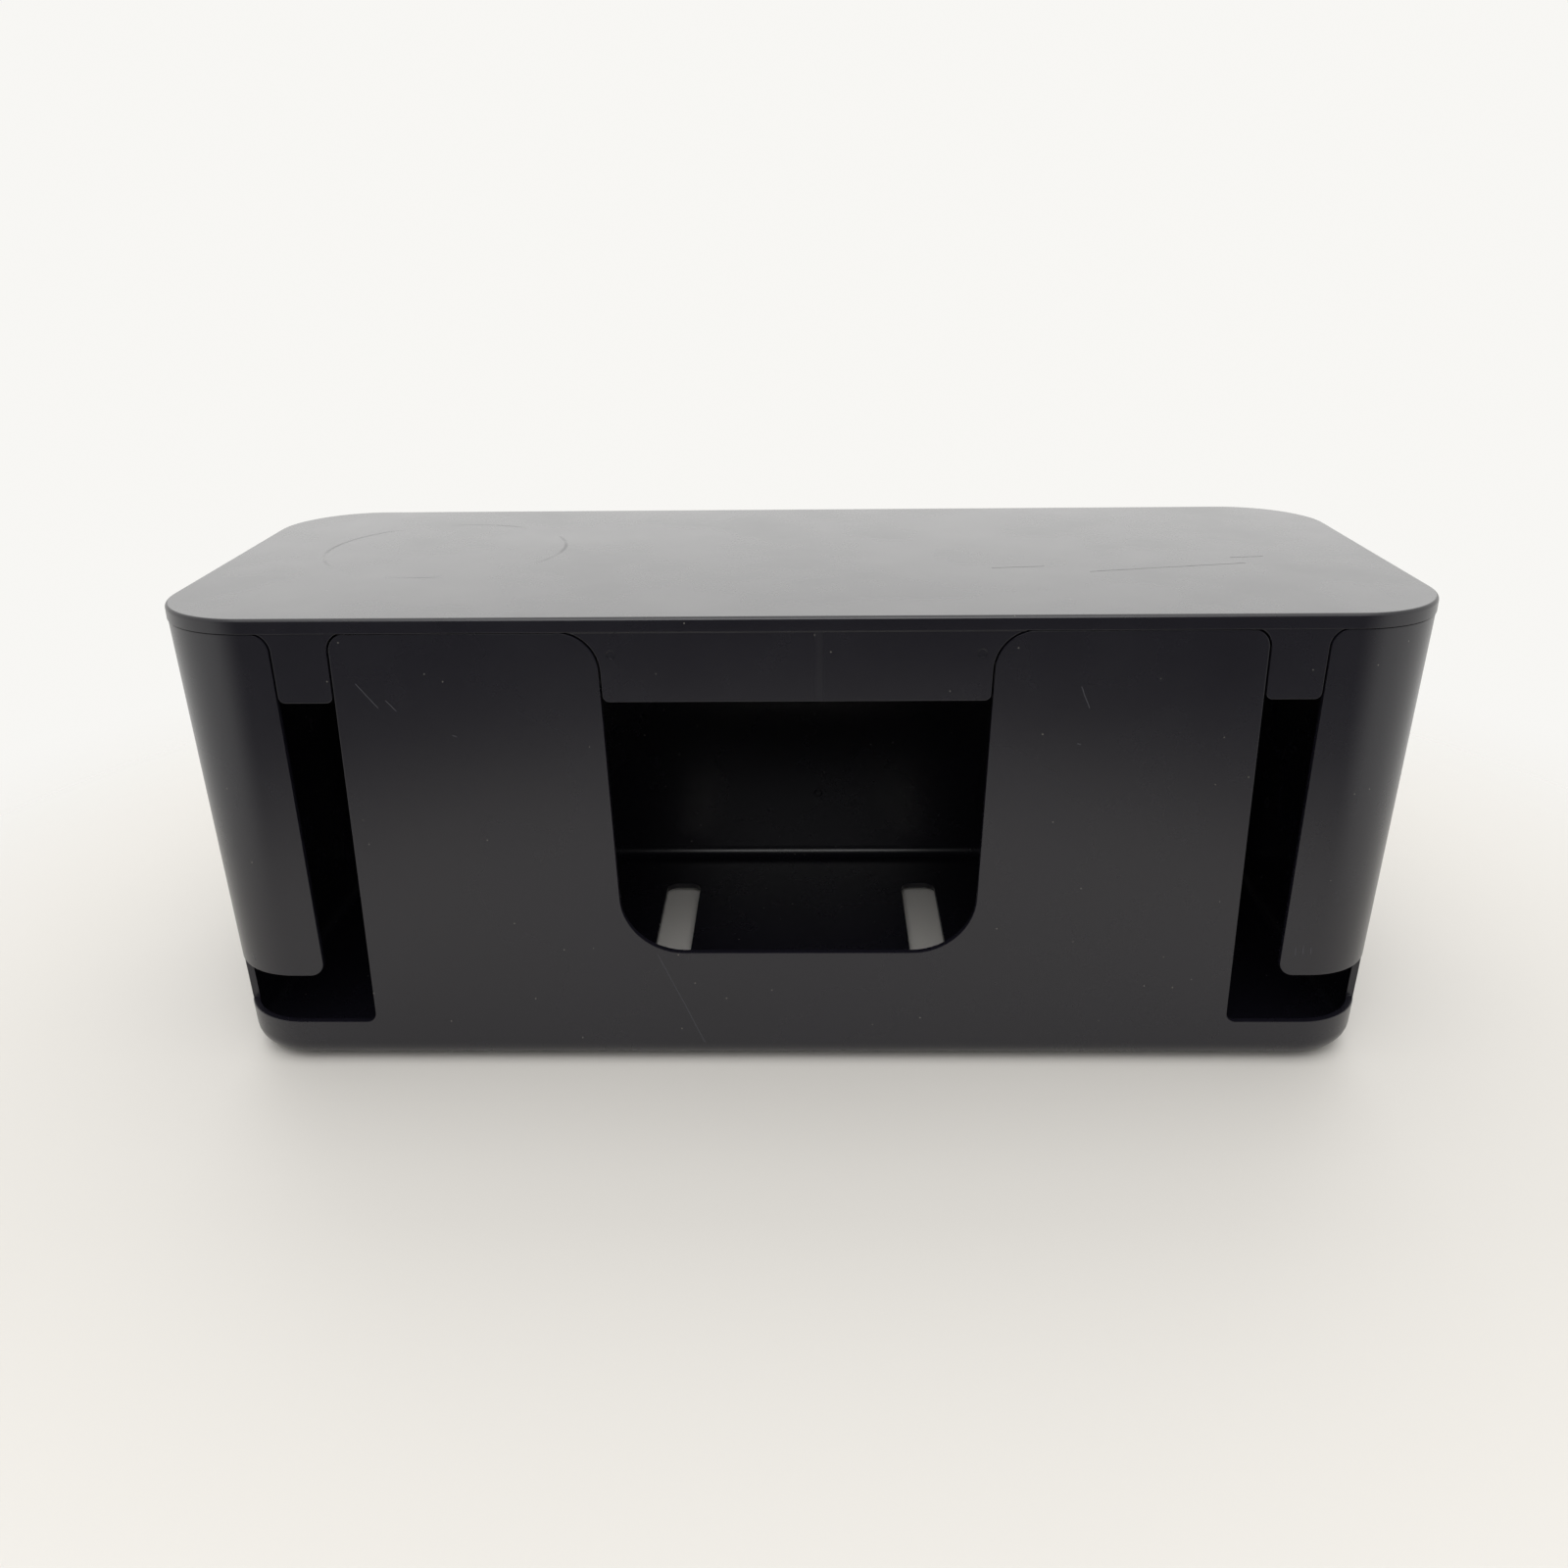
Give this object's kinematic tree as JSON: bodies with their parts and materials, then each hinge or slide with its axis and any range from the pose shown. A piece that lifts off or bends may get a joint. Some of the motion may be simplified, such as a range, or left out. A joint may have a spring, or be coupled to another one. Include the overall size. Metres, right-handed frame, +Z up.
{
  "type": "cable management box",
  "caption": "Long black moulded box with round corners that hides a power strip: open tub with a wide cable window and two L slots, lift-off lid with aprons, rubber feet.",
  "frame": {"origin": "on the table under the middle of the box", "axes": "+X along the box, +Z up; the side with the cable openings faces -Y"},
  "size_m": [0.405, 0.165, 0.1596],
  "materials": {
    "tub_plastic": "black moulded ABS with a fine satin grain",
    "lid_plastic": "black moulded ABS with a fine satin grain, slightly worn on top",
    "foot_rubber": "soft black rubber"
  },
  "bodies": {
    "box": {"tub": "tub_plastic", "foot_cable_left": "foot_rubber", "foot_cable_right": "foot_rubber", "foot_plain_left": "foot_rubber", "foot_plain_right": "foot_rubber"},
    "cover": {"lid": "lid_plastic"}
  },
  "joints": [
    {"name": "lid_lift", "type": "slide", "parent": "box", "child": "cover", "axis": [0, 0, 1], "range_m": [0, 0.06]}
  ]
}
